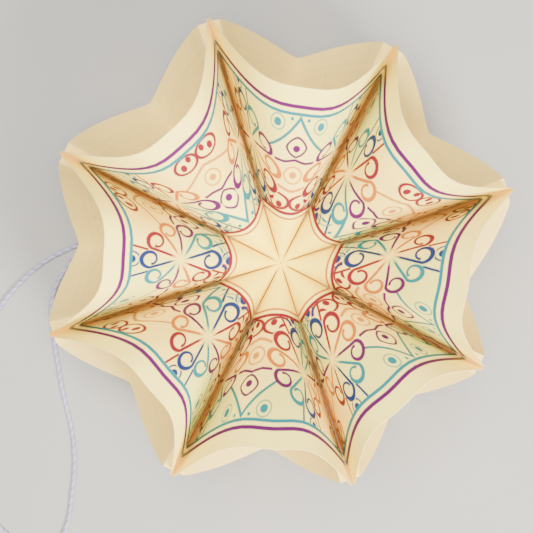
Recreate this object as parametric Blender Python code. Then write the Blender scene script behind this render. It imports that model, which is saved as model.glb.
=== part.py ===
"""Paper snowflake star: eight printed paper cones glued side by side, with a hanging cord.

The star lies on its back on the plane z = 0 and faces +Z. The points of the cones meet near
the Z axis, and their open mouths look outward. All lengths are in metres, angles in degrees.
"""

import math

import bmesh
import bpy
from mathutils import Matrix, Vector

MM = 0.001

# Driving dimensions of the paper.
CONES = 8
PAPER_THICK = 0.25 * MM
BACK_DROP = 42.5 * MM  # from the cones' points down to the lowest corner of a back seam
POINT_HEIGHT = BACK_DROP + PAPER_THICK / 2  # above the surface that the star lies on
CORD_CONE_DROP = 40.1 * MM  # the same on the cone that rests on the cord
POINT_START = 4.0 * MM  # where a cone's sheet starts, measured from its point
CREASE_CLEAR = 0.15 * MM  # from a side crease's face to the plane between two cones
LEAN = (1.8 * MM, -2.7 * MM)  # how far the cones' points sit off the middle, as hand-made ones do
RIM_LEAN = 1.1  # share of the lean that the middle of a front rim has too

# Each side crease is shared by two cones: its length, and its turn away from an even spacing.
# The hand-rolled cones differ a little. The first crease lies half a step past the X axis.
CREASES = (
    (93.0 * MM, -1.5),
    (92.0 * MM, -2.0),
    (94.0 * MM, -1.5),
    (91.5 * MM, 1.5),
    (92.0 * MM, 1.0),
    (93.0 * MM, 1.5),
    (92.0 * MM, 0.5),
    (89.5 * MM, -1.0),
)
# Each cone's height of the front rim's middle above its point, and the turn of its back seam.
FRONT_RISES = (68 * MM, 70.5 * MM, 71.5 * MM, 72 * MM, 70 * MM, 71 * MM, 71 * MM, 68 * MM)
SEAM_TURNS = (-4.0, 0.0, 0.5, 0.0, 1.0, 0.5, 1.5, 0.0)

# Cross-section of a cone, as powers in its outline: the front is a full arch, the back a keel.
ARCH_SIDE_POWER = 3.4
ARCH_TOP_POWER = 1 / 3
KEEL_SIDE_POWER = 1.3
KEEL_TOP_POWER = 0.8
KEEL_WIDTH = 0.87  # the back wall lies level from here to the crease, as a share of half the width
FLAT_NEAR_POINT = 0.8  # the front wall's elevation near the point, as a share of that at the rim
FLARE_FROM = 0.2  # shares of the length over which the front wall reaches its full elevation
FLARE_TO = 0.85

# Mesh steps.
FRONT_STEPS = 18
BACK_STEPS = 6  # from the seam to a crease
FLAP_STEPS = 2  # how many back steps the glued flap covers
LENGTH_STATIONS = (0.25, 0.5, 0.75, 1.0)
CURVE_SAMPLES = 400
SIDE_NUDGE = 0.002  # how far to each side of a spot its wall's slope is read

# The glued seam: the flap lies inside the other edge, with double-sided tape between them.
FLAP_INSET = 0.6 * MM
TAPE_THICK = 0.1 * MM
TAPE_SPAN = (0.2, 0.8)  # share of the second back step
TAPE_REACH = (0.15, 0.93)  # share of the length

# Glue line between the creases of two neighbouring cones.
GLUE_THICK = 0.1 * MM
GLUE_BOTTOM = -0.5 * MM
GLUE_TOP = 4.0 * MM
GLUE_FROM = 18 * MM
GLUE_TO = 82 * MM

# The hanging cord: both ends pass up through one hole and are held by a knot inside the cone.
CORD_CONE = 4  # counted from the cone on the X axis, which is 0
CORD_DIAMETER = 1.8 * MM
CORD_STEPS = 2  # tube rings from one route point to the next
HOLE_RADIUS = 2.6 * MM
HOLE_REACH = 60.0 * MM  # from the Z axis
HOLE_CUT_DEPTH = 24 * MM
KNOT_RADIUS = 3.0 * MM
KNOT_ABOVE_SEAM = 5.9 * MM
KNOT_DETAIL = 2  # subdivisions of the knot's ball

# Where the cord runs, in millimetres, from the knot's underside round the loop and back.
CORD_ROUTE = (
    (-60.0, -1.2, 16.2),
    (-60.0, -1.2, 12.8),
    (-60.4, -1.2, 9.6),
    (-61.9, -1.2, 6.4),
    (-64.6, -1.2, 3.6),
    (-68.5, -1.3, 1.7),
    (-73.5, -1.5, 0.95),
    (-78.0, -1.8, 0.9),
    (-82.5, -2.7, 0.9),
    (-89.6, -6.2, 0.9),
    (-97.5, -11.4, 0.9),
    (-105.2, -18.7, 0.9),
    (-112.7, -28.4, 0.9),
    (-119.4, -40.5, 0.9),
    (-124.6, -55.0, 0.9),
    (-127.4, -71.0, 0.9),
    (-127.0, -87.0, 0.9),
    (-123.2, -103.0, 0.9),
    (-115.6, -118.0, 0.9),
    (-104.6, -129.3, 0.9),
    (-92.6, -134.2, 0.9),
    (-83.2, -131.2, 0.9),
    (-79.2, -122.4, 0.9),
    (-78.3, -110.5, 0.9),
    (-78.2, -97.0, 0.9),
    (-80.4, -83.0, 0.9),
    (-85.8, -65.5, 0.9),
    (-90.6, -46.5, 0.9),
    (-93.1, -33.0, 0.9),
    (-92.4, -22.8, 0.9),
    (-88.6, -13.8, 0.9),
    (-83.2, -7.0, 0.9),
    (-78.0, -4.3, 0.9),
    (-73.5, -3.6, 0.95),
    (-68.5, -3.5, 1.7),
    (-64.6, -3.5, 3.6),
    (-61.9, -3.5, 6.4),
    (-60.4, -3.5, 9.6),
    (-60.0, -3.5, 12.8),
    (-60.0, -3.5, 16.2),
)


def direction(azimuth, elevation=0.0):
    """The unit vector at these angles, in degrees."""
    flat = math.cos(math.radians(elevation))
    return Vector((
        flat * math.cos(math.radians(azimuth)),
        flat * math.sin(math.radians(azimuth)),
        math.sin(math.radians(elevation)),
    ))


def smooth_step(low, high, value):
    """0 below low, 1 above high and an S curve between."""
    share = min(max((value - low) / (high - low), 0.0), 1.0)
    return share * share * (3 - 2 * share)


def even_steps(curve, steps):
    """Parameters from 0 to 1 that cut a curve of unit vectors into stretches of equal length."""
    points = [curve(i / CURVE_SAMPLES) for i in range(CURVE_SAMPLES + 1)]
    reached = [0.0]
    for before, after in zip(points, points[1:]):
        reached.append(reached[-1] + (after - before).length)
    found = []
    for step in range(steps + 1):
        wanted = reached[-1] * step / steps
        index = next(i for i, value in enumerate(reached) if value >= wanted - 1e-12)
        if index == 0:
            found.append(0.0)
            continue
        within = (wanted - reached[index - 1]) / (reached[index] - reached[index - 1])
        found.append((index - 1 + within) / CURVE_SAMPLES)
    return found


class Cone:
    """One cone: where its walls run, seen from the point where all cones meet."""

    def __init__(self, number):
        before = (number - 1) % CONES
        step = 360 / CONES
        self.reach = (CREASES[before][0], CREASES[number][0])
        turns = (
            (number - 0.5) * step + CREASES[before][1],
            (number + 0.5) * step + CREASES[number][1],
        )
        self.middle = sum(turns) / 2
        self.half_width = (turns[1] - turns[0]) / 2
        self.seam_turn = SEAM_TURNS[number]
        drop = CORD_CONE_DROP if number == CORD_CONE else BACK_DROP
        self.front_elevation = math.degrees(math.asin(FRONT_RISES[number] / self.length(0)))
        self.back_elevation = -math.degrees(math.asin(drop / self.length(0)))
        clear = (PAPER_THICK / 2 + CREASE_CLEAR) / math.sin(math.radians(self.half_width))
        self.point = Vector((0, 0, POINT_HEIGHT)) + direction(self.middle) * clear

    def length(self, side):
        """Slant length at a side from -1 to 1, across the cone."""
        return self.reach[0] + (self.reach[1] - self.reach[0]) * (side + 1) / 2

    def front(self, side, share=1.0):
        """Direction of the front wall, at a share of the slant length."""
        rise = max(1 - abs(side) ** ARCH_SIDE_POWER, 0.0) ** ARCH_TOP_POWER
        flare = FLAT_NEAR_POINT + (1 - FLAT_NEAR_POINT) * smooth_step(FLARE_FROM, FLARE_TO, share)
        elevation = self.front_elevation * rise * flare
        return direction(self.middle + self.half_width * side, elevation)

    def back(self, side, share=1.0):
        """Direction of the back wall, which is straight all the way from the point."""
        within = min(abs(side) / KEEL_WIDTH, 1.0)
        rise = (1 - within**KEEL_SIDE_POWER) ** KEEL_TOP_POWER
        turn = self.half_width * side + self.seam_turn * (1 - abs(side))
        return direction(self.middle + turn, self.back_elevation * rise)

    def stations(self):
        """The trip round the sheet: (wall, side, inset), from the outer edge to the flap's."""
        to_left = [-t for t in even_steps(lambda t: self.back(-t), BACK_STEPS)]
        to_right = even_steps(lambda t: self.back(t), BACK_STEPS)
        across = [2 * t - 1 for t in even_steps(lambda t: self.front(2 * t - 1), FRONT_STEPS)]
        trip = [(self.back, side, 0.0) for side in to_left[:-1]]
        trip += [(self.front, side, 0.0) for side in across]
        trip += [(self.back, side, FLAP_INSET * (1 - side)) for side in to_right[-2::-1]]
        trip += [(self.back, side, FLAP_INSET) for side in to_left[1 : FLAP_STEPS + 1]]
        return trip

    def spot(self, wall, side, share, inset):
        """A point of the sheet: its share of the slant length, set inward by the inset."""
        ahead = wall(min(side + SIDE_NUDGE, 1.0), share)
        behind = wall(max(side - SIDE_NUDGE, -1.0), share)
        inward = (ahead - behind).cross(wall(side, share)).normalized()
        if inward.dot(direction(self.middle) - wall(side, share)) < 0:
            inward.negate()
        start = POINT_START / self.length(side)
        along = start + (1 - start) * share
        kept = along * (1 - RIM_LEAN * (1 - side**2)) if wall == self.front else along
        lean = Vector((*LEAN, 0)) * (1 - kept)
        return self.point + lean + wall(side, along) * self.length(side) * along + inward * inset


def new_material(name, colour, roughness, metallic=0.0):
    """A plain Principled material."""
    material = bpy.data.materials.new(name)
    material.use_nodes = True
    shader = material.node_tree.nodes["Principled BSDF"]
    shader.inputs["Base Color"].default_value = (*colour, 1)
    shader.inputs["Roughness"].default_value = roughness
    shader.inputs["Metallic"].default_value = metallic
    material.diffuse_color = (*colour, 1)
    return material


def add_object(name, data, material):
    """Puts mesh or curve data into the scene under its name."""
    made = bpy.data.objects.new(name, data)
    bpy.context.scene.collection.objects.link(made)
    data.materials.append(material)
    return made


def grid_mesh(name, rows):
    """A sheet of quads through rows of points."""
    shape = bmesh.new()
    corners = [[shape.verts.new(point) for point in row] for row in rows]
    for lower, upper in zip(corners, corners[1:]):
        for i in range(len(lower) - 1):
            shape.faces.new((lower[i], lower[i + 1], upper[i + 1], upper[i]))
    bmesh.ops.recalc_face_normals(shape, faces=shape.faces)
    mesh = bpy.data.meshes.new(name)
    shape.to_mesh(mesh)
    shape.free()
    return mesh


def thicken(piece, thickness):
    """Gives a sheet its thickness, half to each side."""
    wall = piece.modifiers.new("Thickness", "SOLIDIFY")
    wall.thickness = thickness
    wall.offset = 0
    wall.use_even_offset = True


def make_cone(number, material):
    """One cone of paper, open at its mouth and at its tiny point."""
    cone = Cone(number)
    trip = cone.stations()
    rows = [
        [cone.spot(wall, side, share, inset) for wall, side, inset in trip]
        for share in (0.0, *LENGTH_STATIONS)
    ]
    name = f"paper_cone_{number + 1}"
    piece = add_object(name, grid_mesh(name, rows), material)
    thicken(piece, PAPER_THICK)
    piece.data.shade_smooth()
    return piece


def make_seam_tape(number, material):
    """Double-sided tape between a cone's flap and its outer edge."""
    cone = Cone(number)
    sides = [-t for t in even_steps(lambda t: cone.back(-t), BACK_STEPS)][1:3]
    rows = []
    for share in TAPE_REACH:
        near, far = [cone.spot(cone.back, side, share, FLAP_INSET / 2) for side in sides]
        rows.append([near.lerp(far, part) for part in TAPE_SPAN])
    name = f"seam_tape_{number + 1}"
    piece = add_object(name, grid_mesh(name, rows), material)
    thicken(piece, TAPE_THICK)
    return piece


def make_side_glue(number, material):
    """The thin line of glue between one cone's crease and the next cone's."""
    azimuth = (number + 0.5) * 360 / CONES + CREASES[number][1]
    size = (GLUE_TO - GLUE_FROM, GLUE_THICK, GLUE_TOP - GLUE_BOTTOM)
    centre = ((GLUE_TO + GLUE_FROM) / 2, 0, POINT_HEIGHT + (GLUE_TOP + GLUE_BOTTOM) / 2)
    shape = bmesh.new()
    bmesh.ops.create_cube(shape, size=1)
    bmesh.ops.scale(shape, vec=size, verts=shape.verts)
    bmesh.ops.translate(shape, vec=centre, verts=shape.verts)
    turn = Matrix.Rotation(math.radians(azimuth), 3, "Z")
    bmesh.ops.rotate(shape, cent=(0, 0, 0), matrix=turn, verts=shape.verts)
    for corner in shape.verts:
        corner.co.xy += Vector(LEAN) * (1 - corner.co.xy.length / CREASES[number][0])
    name = f"side_glue_{number + 1}"
    mesh = bpy.data.meshes.new(name)
    shape.to_mesh(mesh)
    shape.free()
    return add_object(name, mesh, material)


def seam_place():
    """Where the cord's hole crosses the back seam of its cone."""
    cone = Cone(CORD_CONE)
    seam = cone.back(0)
    along = (HOLE_REACH - (cone.point.xy).length) / seam.xy.length
    return cone.point + seam * along


def cut_cord_hole(piece):
    """Cuts the upright round hole for both strands of the cord."""
    shape = bmesh.new()
    bmesh.ops.create_cone(
        shape, cap_ends=True, segments=24, radius1=HOLE_RADIUS, radius2=HOLE_RADIUS, depth=HOLE_CUT_DEPTH
    )
    bmesh.ops.translate(shape, vec=seam_place(), verts=shape.verts)
    mesh = bpy.data.meshes.new("cord_hole_cutter")
    shape.to_mesh(mesh)
    shape.free()
    cutter = bpy.data.objects.new("cord_hole_cutter", mesh)
    bpy.context.scene.collection.objects.link(cutter)
    cutter.hide_render = True
    cutter.display_type = "WIRE"
    hole = piece.modifiers.new("Cord hole", "BOOLEAN")
    hole.operation = "DIFFERENCE"
    hole.solver = "EXACT"
    hole.object = cutter


def smooth_route(points, steps):
    """Points along one smooth curve through the route, with the given steps in each stretch."""
    ends = [2 * points[0] - points[1], *points, 2 * points[-1] - points[-2]]
    route = []
    for before, start, end, after in zip(ends, ends[1:], ends[2:], ends[3:]):
        leave = (end - before) / 2
        arrive = (after - start) / 2
        for i in range(steps):
            t = i / steps
            route.append(
                start * (2 * t**3 - 3 * t**2 + 1)
                + leave * (t**3 - 2 * t**2 + t)
                + end * (3 * t**2 - 2 * t**3)
                + arrive * (t**3 - t**2)
            )
    route.append(points[-1])
    return route


def make_cord(material):
    """The cord's loop, as one tube along its route."""
    points = smooth_route([Vector(point) * MM for point in CORD_ROUTE], CORD_STEPS)
    curve = bpy.data.curves.new("hanging_cord", "CURVE")
    curve.dimensions = "3D"
    spline = curve.splines.new("POLY")
    spline.points.add(len(points) - 1)
    for target, point in zip(spline.points, points):
        target.co = (*point, 1)
    curve.bevel_depth = CORD_DIAMETER / 2
    curve.bevel_resolution = 2
    curve.use_fill_caps = True
    return add_object("hanging_cord", curve, material)


def make_knot(material):
    """The knot that keeps both ends of the cord from slipping out of the hole."""
    shape = bmesh.new()
    bmesh.ops.create_icosphere(shape, subdivisions=KNOT_DETAIL, radius=KNOT_RADIUS)
    place = seam_place() + Vector((0, 0, KNOT_ABOVE_SEAM))
    bmesh.ops.translate(shape, vec=place, verts=shape.verts)
    mesh = bpy.data.meshes.new("stopper_knot")
    shape.to_mesh(mesh)
    shape.free()
    piece = add_object("stopper_knot", mesh, material)
    mesh.shade_smooth()
    return piece


def clear_scene():
    """Removes whatever the scene holds."""
    for old in list(bpy.data.objects):
        bpy.data.objects.remove(old, do_unlink=True)


def build():
    """Makes every piece of the star."""
    clear_scene()
    paper = new_material("Cream printed paper", (0.93, 0.84, 0.64), 0.75)
    tape = new_material("Clear tape", (0.85, 0.82, 0.74), 0.4)
    glue = new_material("Dried glue", (0.86, 0.80, 0.66), 0.35)
    cord = new_material("Lilac grey cord", (0.52, 0.50, 0.62), 0.85)
    for number in range(CONES):
        piece = make_cone(number, paper)
        if number == CORD_CONE:
            cut_cord_hole(piece)
        make_seam_tape(number, tape)
        make_side_glue(number, glue)
    make_cord(cord)
    make_knot(cord)


build()
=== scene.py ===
"""Looks of the paper snowflake star: printed paper cones, glue, tape and a twisted hanging cord.

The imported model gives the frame. Lengths are in metres and angles in degrees unless a name says
otherwise. The star lies on its back on z = 0, faces +Z, and its cones' points meet near the Z axis.
"""

import logging
import math
from dataclasses import dataclass, field
from enum import Enum
from typing import Optional, Union

import bmesh
import bpy
from mathutils import Matrix, Vector


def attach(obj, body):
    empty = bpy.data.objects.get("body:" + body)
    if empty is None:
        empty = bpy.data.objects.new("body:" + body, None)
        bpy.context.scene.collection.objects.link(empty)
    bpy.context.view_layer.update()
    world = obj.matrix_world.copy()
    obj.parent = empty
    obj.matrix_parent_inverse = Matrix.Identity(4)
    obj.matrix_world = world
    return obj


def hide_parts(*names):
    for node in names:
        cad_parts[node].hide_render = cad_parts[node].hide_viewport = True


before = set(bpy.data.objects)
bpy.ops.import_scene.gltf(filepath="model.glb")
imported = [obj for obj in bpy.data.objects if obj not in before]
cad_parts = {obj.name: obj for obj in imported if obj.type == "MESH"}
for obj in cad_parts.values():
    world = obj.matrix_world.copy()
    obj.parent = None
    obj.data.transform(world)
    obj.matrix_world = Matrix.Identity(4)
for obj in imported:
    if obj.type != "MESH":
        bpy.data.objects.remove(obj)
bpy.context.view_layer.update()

MM = 0.001
FULL_TURN = 360.0
BODY = "root"
SENSOR_WIDTH = 36.0  # of the camera, in millimetres
ARM_COLOURS = 5  # the rosettes' arms repeat after this many colours
INK_EDGE = 4.0  # how sharply one ink's colour gives way to the next
DROP_SCALE = 9.0  # drawing units that a drop's and a leaf's outline are read in
LEAF_SCALE = 8.5
FLAP_DETAIL = 4  # how finely the tapes' sides are read within one back step

logging.basicConfig(level=logging.INFO, format="%(message)s")
log = logging.getLogger("snowflake_star")

Colour = tuple[float, float, float]


def direction(azimuth: float, elevation: float = 0.0) -> Vector:
    """The unit vector at an azimuth and an elevation.

    Args:
        azimuth: Degrees counterclockwise from +X.
        elevation: Degrees above the horizontal.

    Returns:
        The unit vector.
    """
    flat = math.cos(math.radians(elevation))
    return Vector((
        flat * math.cos(math.radians(azimuth)),
        flat * math.sin(math.radians(azimuth)),
        math.sin(math.radians(elevation)),
    ))


def smooth_step(low: float, high: float, value: float) -> float:
    """0 below low, 1 above high and an S curve between.

    Args:
        low: Where the curve leaves 0.
        high: Where it reaches 1.
        value: The place to read.

    Returns:
        A number from 0 to 1.
    """
    share = min(max((value - low) / (high - low), 0.0), 1.0)
    return share * share * (3 - 2 * share)


def linear(red: int, green: int, blue: int) -> Colour:
    """A display colour, 0 to 255 a channel, as the linear colour that shaders use.

    Args:
        red: Red, 0 to 255.
        green: Green, 0 to 255.
        blue: Blue, 0 to 255.

    Returns:
        The linear colour.
    """
    def channel(value: int) -> float:
        """One channel, decoded from the display's curve."""
        share = value / 255
        return share / 12.92 if share <= 0.04045 else ((share + 0.055) / 1.055) ** 2.4

    return channel(red), channel(green), channel(blue)


# --------------------------------------------------------------------------------------------
# Numbers that vary over a surface
# --------------------------------------------------------------------------------------------


Number = Union["Field", float]


class Field:
    """A number that varies over a surface, with arithmetic that adds Math nodes to its tree."""

    def __init__(self, tree: bpy.types.NodeTree, socket: bpy.types.NodeSocket) -> None:
        """Wraps an output socket.

        Args:
            tree: The node tree that holds the socket.
            socket: The output socket that carries the number.
        """
        self.tree = tree
        self.socket = socket

    def work(self, operation: str, *others: Number, clamp: bool = False) -> "Field":
        """Adds one Math node that starts with this number.

        Args:
            operation: The Math node's operation.
            *others: Its further inputs.
            clamp: Whether the result is kept from 0 to 1.

        Returns:
            The node's result.
        """
        node = self.tree.nodes.new("ShaderNodeMath")
        node.operation = operation
        node.use_clamp = clamp
        node.hide = True
        for socket, value in zip(node.inputs, (self, *others)):
            if isinstance(value, Field):
                self.tree.links.new(value.socket, socket)
            else:
                socket.default_value = value
        return Field(self.tree, node.outputs[0])

    def __add__(self, other: Number) -> "Field":
        """The sum."""
        return self.work("ADD", other)

    __radd__ = __add__

    def __sub__(self, other: Number) -> "Field":
        """This number less the other."""
        return self.work("SUBTRACT", other)

    def __rsub__(self, other: float) -> "Field":
        """A plain number less this one."""
        return self.work("MULTIPLY_ADD", -1.0, other)

    def __mul__(self, other: Number) -> "Field":
        """The product."""
        return self.work("MULTIPLY", other)

    __rmul__ = __mul__

    def __truediv__(self, other: Number) -> "Field":
        """This number over the other."""
        return self.work("DIVIDE", other)

    def __pow__(self, power: float) -> "Field":
        """This number to a power."""
        return self.work("POWER", power)

    def __abs__(self) -> "Field":
        """The size of the number."""
        return self.work("ABSOLUTE")

    def least(self, other: Number) -> "Field":
        """The smaller of the two."""
        return self.work("MINIMUM", other)

    def most(self, other: Number) -> "Field":
        """The larger of the two."""
        return self.work("MAXIMUM", other)

    def below(self, limit: Number) -> "Field":
        """1 where the number is below the limit, otherwise 0."""
        return self.work("LESS_THAN", limit)

    def above(self, limit: Number) -> "Field":
        """1 where the number is above the limit, otherwise 0."""
        return self.work("GREATER_THAN", limit)

    def wrapped(self, period: float) -> "Field":
        """The number brought into 0 to the period."""
        return self.work("FLOORED_MODULO", period)

    def root(self) -> "Field":
        """The square root."""
        return self.work("SQRT")

    def angle_from(self, other: "Field") -> "Field":
        """The angle in degrees whose sine and cosine are this number and the other."""
        return self.work("ARCTAN2", other).work("DEGREES")

    def cosine(self) -> "Field":
        """The cosine of the number as degrees."""
        return self.work("RADIANS").work("COSINE")

    def sine(self) -> "Field":
        """The sine of the number as degrees."""
        return self.work("RADIANS").work("SINE")

    def inked(self, half_width: Number, softness: float) -> "Field":
        """The ink of a stroke, where this number is the distance from the stroke's middle.

        Args:
            half_width: Half the stroke's width.
            softness: How far the ink fades across its edge.

        Returns:
            1 in the stroke, 0 outside it.
        """
        return ((half_width - self) / softness).work("ADD", 0.5, clamp=True)


def length_of(across: Field, along: Field) -> Field:
    """The length of the arrow with these two parts."""
    return (across * across + along * along).root()


@dataclass
class Graph:
    """A node tree that is being filled."""

    tree: bpy.types.NodeTree

    def add(self, kind: str, **settings: object) -> bpy.types.Node:
        """Adds a node and sets its properties.

        Args:
            kind: The node's type.
            **settings: Its properties.

        Returns:
            The new node.
        """
        node = self.tree.nodes.new(kind)
        for name, value in settings.items():
            setattr(node, name, value)
        return node

    def link(self, source: bpy.types.NodeSocket, target: bpy.types.NodeSocket) -> None:
        """Joins an output to an input."""
        self.tree.links.new(source, target)

    def number(self, socket: bpy.types.NodeSocket) -> Field:
        """An output socket as a number with arithmetic."""
        return Field(self.tree, socket)

    def noise(self, place: bpy.types.NodeSocket, scale: float, detail: float = 3.0) -> Field:
        """Soft noise over a surface.

        Args:
            place: The coordinates that it is read at.
            scale: How many spots fit in one unit of the coordinates.
            detail: How many finer layers it has.

        Returns:
            The noise, about 0.5.
        """
        node = self.add("ShaderNodeTexNoise")
        node.inputs["Scale"].default_value = scale
        node.inputs["Detail"].default_value = detail
        self.link(place, node.inputs["Vector"])
        return self.number(node.outputs[0])

    def mix(
        self,
        share: Union[Field, float],
        under: Union[bpy.types.NodeSocket, Colour],
        over: Union[bpy.types.NodeSocket, Colour],
        blend: str = "MIX",
    ) -> bpy.types.NodeSocket:
        """Lays one colour over another.

        Args:
            share: How much of the upper colour shows, 0 to 1.
            under: The lower colour.
            over: The upper colour.
            blend: How the two are mixed.

        Returns:
            The mixed colour's socket.
        """
        node = self.add("ShaderNodeMix", data_type="RGBA", blend_type=blend, hide=True)
        if isinstance(share, Field):
            self.link(share.socket, node.inputs[0])
        else:
            node.inputs[0].default_value = share
        for socket, value in ((node.inputs[6], under), (node.inputs[7], over)):
            if isinstance(value, tuple):
                socket.default_value = (*value, 1)
            else:
                self.link(value, socket)
        return node.outputs[2]


def new_group(name: str, inputs: dict[str, float], outputs: dict[str, str]) -> tuple[Graph, dict, dict]:
    """Starts a shader node group.

    Args:
        name: The group's name.
        inputs: Its number inputs and their usual values.
        outputs: Its outputs and their kinds of socket.

    Returns:
        The graph inside, the inputs as numbers and the sockets that take the results.
    """
    tree = bpy.data.node_groups.new(name, "ShaderNodeTree")
    for label, value in inputs.items():
        socket = tree.interface.new_socket(label, in_out="INPUT", socket_type="NodeSocketFloat")
        socket.default_value = value
    for label, kind in outputs.items():
        tree.interface.new_socket(label, in_out="OUTPUT", socket_type=kind)
    graph = Graph(tree)
    start = graph.add("NodeGroupInput")
    end = graph.add("NodeGroupOutput")
    numbers = {label: graph.number(start.outputs[label]) for label in inputs}
    return graph, numbers, {label: end.inputs[label] for label in outputs}


# --------------------------------------------------------------------------------------------
# The printed pattern
# --------------------------------------------------------------------------------------------


@dataclass(frozen=True)
class Inks:
    """The colours of the print."""

    purple: Colour = linear(82, 10, 84)
    teal: Colour = linear(18, 112, 126)
    blue: Colour = linear(22, 42, 98)
    crimson: Colour = linear(116, 18, 44)
    orange: Colour = linear(180, 100, 34)
    mint_tint: Colour = linear(222, 244, 230)
    peach_tint: Colour = linear(255, 228, 190)
    heart_tint: Colour = linear(255, 252, 136)


@dataclass(frozen=True)
class Mark:
    """A round printed mark: its place in a cell, its size and how far its ink covers."""

    across: float
    up: float
    radius: float
    half_width: float = 0.0  # half the line of an open circle
    cover: float = 1.0


@dataclass(frozen=True)
class Ring:
    """A printed ring round the disc's centre, in shares of the slant length."""

    reach: float
    half_width: float


@dataclass(frozen=True)
class Leaf:
    """A closed outline in a cell, as a rounded shape with its own width and height."""

    across: float
    up: float
    wide: float
    high: float
    half_width: float


@dataclass(frozen=True)
class PrintPattern:
    """Rings, rosettes, eyes and leaves, printed from the centre of the half disc to its rim.

    The pattern repeats every quarter turn of the disc and mirrors at each gap's mid-line. Drawing
    units are steps in which the shapes look round on the finished cone. Across is measured from
    a gap's mid-line and up from the middle of the printed band.
    """

    repeat: float = 90.0
    across_scale: float = 270.0
    up_scale: float = 167.0
    band_middle: float = 0.567  # share of the slant length
    band_half: float = 50.0
    softness: float = 0.9
    arm_step: float = 36.0
    arm_reach: float = 32.0  # from the rosette's centre to a curl's centre
    curl_radius: float = 9.0
    curl_shrink: float = 4.2
    curl_shrink_power: float = 1.7
    curl_end: float = 350.0
    pen_turn: float = 100.0  # where round a curl the pen presses hardest
    pen: float = 1.7  # half the middling width of a curl's line
    pen_swell: float = 0.5
    stem_pen: float = 1.8
    stem_power: float = 1.1
    clear_centre: float = 3.0  # the arms fade in from here
    fade_over: float = 8.0
    rosette_reach: float = 43.0
    line_reach: float = 40.0  # how near the cells' lines come to the rosette's centre
    parting_reach: float = 36.0  # the same for the lines that part the cells
    cell_half: float = 61.6  # from a gap's mid-line to a rosette's centre, at the band's middle
    vee_top: float = 46.6
    vee_pen: float = 1.5
    wave_top: float = 3.6
    wave_fall: float = 0.3
    wave_length: float = 30.0
    wave_swing: float = 1.4
    wave_pen: float = 1.45
    swag_depth: float = 29.5
    swag_power: float = 1.3
    swag_slope: float = 0.9
    swag_pen: float = 1.3
    blue_lean: float = 21.4  # degrees that the parting lines lean
    red_lean: float = 16.32
    parting_pen: float = 1.25
    drop: Leaf = Leaf(0.0, 17.5, 10.3, 10.6, 1.1)
    drop_power: float = 1.5  # between a diamond and an oval
    leaf: Leaf = Leaf(14.5, -41.0, 14.0, 7.5, 1.2)
    teal_dots: tuple[Mark, ...] = (Mark(23.3, 40.0, 4.0), Mark(8.8, 45.5, 1.7))
    teal_circle: Mark = Mark(23.3, 40.0, 7.4, 0.8, 0.75)
    purple_dot: Mark = Mark(0.0, 16.0, 3.8)
    orange_dot: Mark = Mark(0.0, -13.0, 3.6)
    orange_circle: Mark = Mark(0.0, -13.0, 8.7, 0.9, 0.9)
    berries: tuple[Mark, ...] = (Mark(9.3, -44.0, 3.1), Mark(18.6, -39.8, 3.5))
    bud: Mark = Mark(0.0, 0.0, 4.6)
    bud_circle: Mark = Mark(0.0, 0.0, 8.0, 0.9)
    heart_ring: Ring = Ring(0.234, 0.0055)
    inner_ring: Ring = Ring(0.264, 0.0085)
    outer_ring: Ring = Ring(0.866, 0.0085)
    rim_ring: Ring = Ring(0.904, 0.0100)
    ring_softness: float = 0.004
    orange_cover: float = 0.85
    mint_share: float = 0.6
    peach_share: float = 0.4
    heart_share: float = 0.8
    inks: Inks = field(default_factory=Inks)

    def ring(self, reach: Field, ring: Ring) -> Field:
        """The ink of a ring round the disc's centre."""
        return abs(reach - ring.reach).inked(ring.half_width, self.ring_softness)

    def dot(self, across: Field, up: Field, mark: Mark) -> Field:
        """The ink of a filled dot."""
        return length_of(across - mark.across, up - mark.up).inked(mark.radius, self.softness)

    def hoop(self, across: Field, up: Field, mark: Mark) -> Field:
        """The ink of an open circle."""
        off = abs(length_of(across - mark.across, up - mark.up) - mark.radius)
        return off.inked(mark.half_width, self.softness) * mark.cover

    def rosette(self, across: Field, up: Field) -> tuple[Field, Field]:
        """Ten curling arms round a clear centre.

        Args:
            across: Across from the rosette's centre.
            up: Up from it.

        Returns:
            The ink of all arms, and each arm's place in the order of colours, 0 to 4 of 5.
        """
        turn = across.angle_from(up)
        arm = (turn / self.arm_step).work("ROUND")
        off = turn - arm * self.arm_step
        radius = length_of(across, up)
        along = radius * off.cosine()
        aside = radius * off.sine()
        beyond = along - self.arm_reach
        round_curl = beyond.angle_from(aside * -1.0).wrapped(FULL_TURN)
        from_curl = length_of(beyond, aside)
        off_curl = abs(
            from_curl - self.curl_radius
            + (round_curl / FULL_TURN) ** self.curl_shrink_power * self.curl_shrink
        )
        pen = (round_curl - self.pen_turn).cosine() * self.pen_swell + self.pen
        curl = off_curl.inked(pen, self.softness) * round_curl.below(self.curl_end)
        bend = (along / self.arm_reach).most(0.0) ** self.stem_power
        stem_line = abs(aside + bend * self.curl_radius)
        stem = stem_line.inked(self.stem_pen, self.softness) * along.below(self.arm_reach)
        fade = ((radius - self.clear_centre) / self.fade_over).work("ADD", 0.0, clamp=True)
        return curl.most(stem) * fade, arm.wrapped(float(ARM_COLOURS))

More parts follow.
